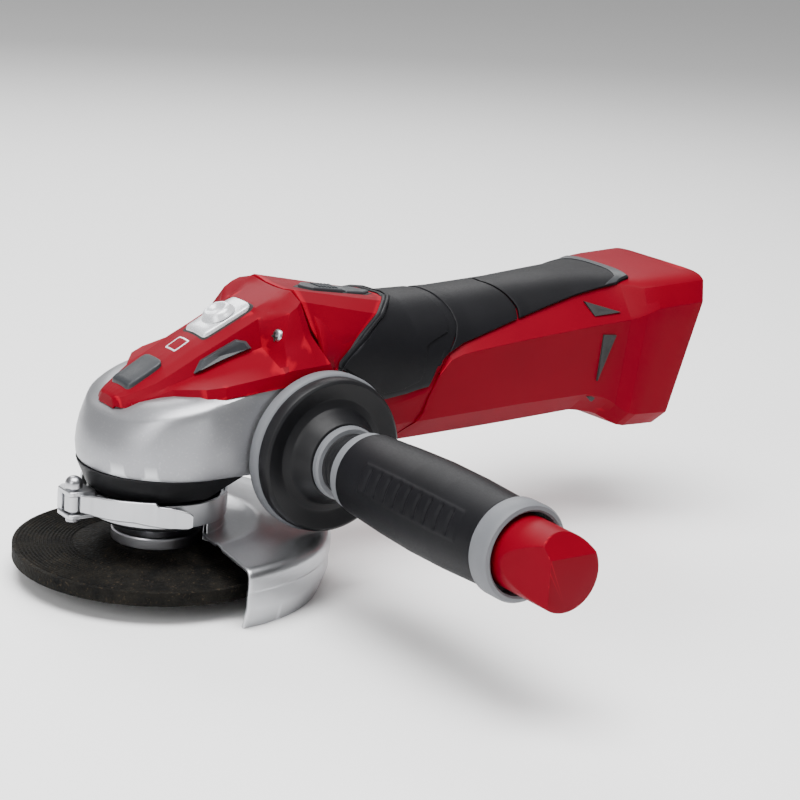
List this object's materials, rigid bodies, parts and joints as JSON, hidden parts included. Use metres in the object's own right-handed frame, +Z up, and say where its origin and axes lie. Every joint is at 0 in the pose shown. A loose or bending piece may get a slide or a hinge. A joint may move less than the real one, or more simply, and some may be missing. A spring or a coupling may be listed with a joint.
{
  "type": "cordless angle grinder",
  "caption": "Cordless angle grinder with a bevel-gear head, turnable guard with a clamp lever, a damped side handle, a top slide switch and a slide-on battery foot.",
  "frame": {"origin": "free end of the M14 spindle nose, on the spindle axis", "axes": "+X from the spindle to the battery foot, +Z up the spindle into the gear head, side handle towards -Y"},
  "size_m": [0.3145, 0.269, 0.1217],
  "materials": {
    "disc": "resin-bonded abrasive, matt",
    "steel": "turned and ground steel",
    "zinc_steel": "zinc-plated pressed steel",
    "silver_casting": "satin painted die casting",
    "black_casting": "black powder coat",
    "red_plastic": "satin-gloss moulded nylon",
    "black_soft": "soft-touch overmould",
    "grey_soft": "grey soft elastomer",
    "dark_plastic": "moulded nylon",
    "white_button": "silver-white moulded button",
    "bronze": "sintered bronze",
    "copper": "copper",
    "magnet": "ferrite",
    "carbon": "carbon graphite",
    "board": "circuit board"
  },
  "bodies": {
    "housing": {"spindle_bearing_outer": "steel", "spindle_bearing_balls": "steel", "upper_bush": "bronze", "gear_case": "silver_casting", "bearing_cover": "black_casting", "bearing_cover_screws": "steel", "bearing_retainer": "steel", "head_cover": "red_plastic", "cover_pad_front": "black_soft", "head_cover_screws": "steel", "lock_spring": "steel", "front_bearing_outer": "steel", "front_bearing_balls": "steel", "rear_bearing_outer": "bronze", "motor_can": "zinc_steel", "magnets": "magnet", "brush_carrier": "dark_plastic", "carbon_brushes": "carbon", "brush_springs": "steel", "housing_left": "red_plastic", "housing_right": "red_plastic", "grip_cover_left": "black_soft", "grip_cover_right": "black_soft", "housing_screws": "steel", "switch_rear_pad": "dark_plastic", "control_board": "board", "switch_block": "dark_plastic", "terminal_block": "dark_plastic", "battery_contacts": "copper"},
    "spindle_unit": {"spindle": "steel", "grinding_disc": "disc", "flange_nut": "steel", "inner_flange": "steel", "spindle_bearing_inner": "steel", "spindle_circlip": "steel", "crown_gear": "steel"},
    "armature": {"armature_shaft": "steel", "armature_core": "steel", "windings": "copper", "commutator": "copper", "fan": "dark_plastic", "pinion": "steel", "front_bearing_inner": "steel", "rear_bearing_inner": "steel"},
    "switch": {"switch_slider": "dark_plastic", "switch_link": "steel"},
    "spindle_lock": {"lock_button": "white_button", "lock_pin": "steel"},
    "guard_unit": {"guard": "zinc_steel", "guard_band": "zinc_steel", "hinge_pin": "steel"},
    "lever": {"clamp_lever": "zinc_steel"},
    "side_handle": {"handle_stud": "steel", "handle_rim": "silver_casting", "handle_flange": "dark_plastic", "damper_rings": "grey_soft", "handle_neck": "black_soft", "handle_grip": "black_soft", "handle_end_ring": "grey_soft", "handle_core": "red_plastic"}
  },
  "joints": [
    {"name": "spindle_spin", "type": "hinge", "parent": "housing", "child": "spindle_unit", "pos_m": [0, 0, 0.0805], "axis": [0, 0, 1], "continuous": true},
    {"name": "armature_spin", "type": "hinge", "parent": "housing", "child": "armature", "pos_m": [0.1, 0, 0.0805], "axis": [1, 0, 0], "continuous": true},
    {"name": "switch_slide", "type": "slide", "parent": "housing", "child": "switch", "axis": [-1, 0, 0], "range_m": [0, 0.008]},
    {"name": "lock_press", "type": "slide", "parent": "housing", "child": "spindle_lock", "axis": [0, 0, -1], "range_m": [0, 0.0025], "stiffness_N_per_m": 800, "springref_m": -0.003, "deforming": ["lock_spring"]},
    {"name": "guard_turn", "type": "hinge", "parent": "housing", "child": "guard_unit", "pos_m": [0, 0, 0.02], "axis": [0, 0, 1], "range_deg": [-90, 60]},
    {"name": "lever_open", "type": "hinge", "parent": "guard_unit", "child": "lever", "pos_m": [-0.0375, 0, 0.033], "axis": [0, 0, -1], "range_deg": [0, 100]},
    {"name": "handle_unscrew", "type": "slide", "parent": "housing", "child": "side_handle", "axis": [0, -1, 0], "range_m": [0, 0.02]}
  ],
  "couplings": [
    {"joint": "armature_spin", "follows": "spindle_spin", "ratio": 3}
  ]
}
